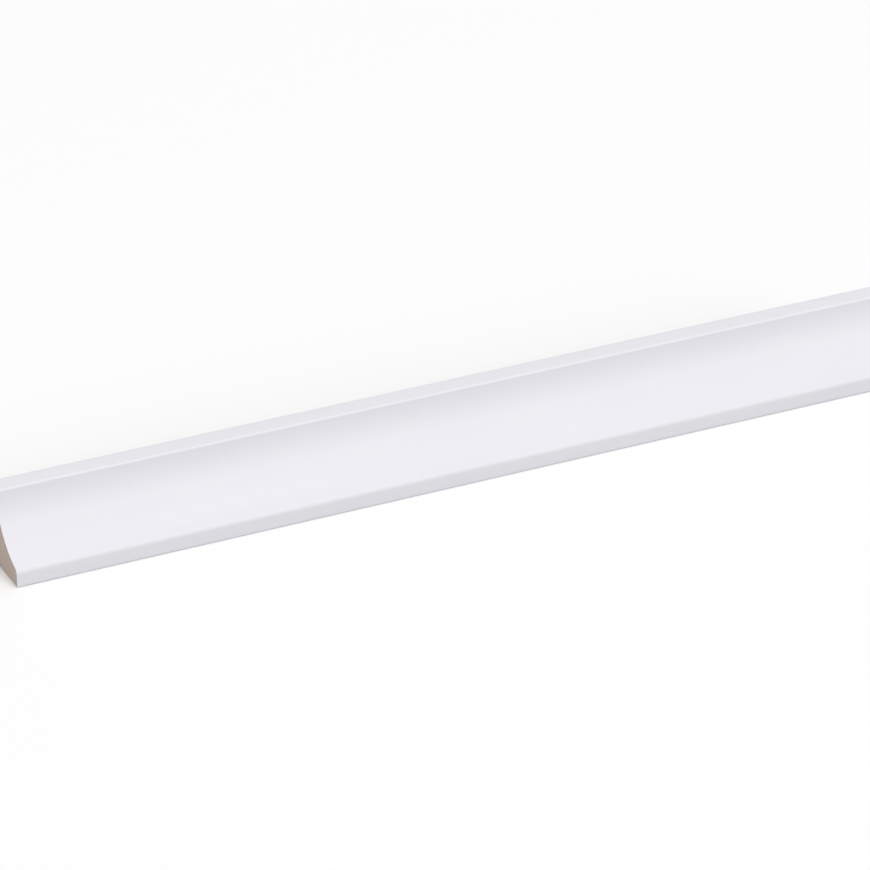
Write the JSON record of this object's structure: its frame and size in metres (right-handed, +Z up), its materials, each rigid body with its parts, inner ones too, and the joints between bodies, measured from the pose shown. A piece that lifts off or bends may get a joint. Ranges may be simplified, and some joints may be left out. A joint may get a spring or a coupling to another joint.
{
  "type": "cove moulding",
  "caption": "Straight length of white foil-wrapped cove moulding with a blunt nose, a wide hollow and a narrow, almost level shelf, cut square at its ends.",
  "frame": {"origin": "middle of the underside, halfway along the length and halfway from the nose to the wall side", "axes": "+X along the length, +Y towards the wall behind, with the nose facing -Y, +Z up"},
  "size_m": [0.36, 0.025, 0.03],
  "materials": {
    "white_foil": "satin white foil bonded to the profiled face, faintly cool, with the board's fine texture showing through",
    "bare_board": "raw fibreboard, grey brown, cut or milled and left bare"
  },
  "bodies": {
    "root": {"cove_moulding": "white_foil"}
  },
  "joints": []
}
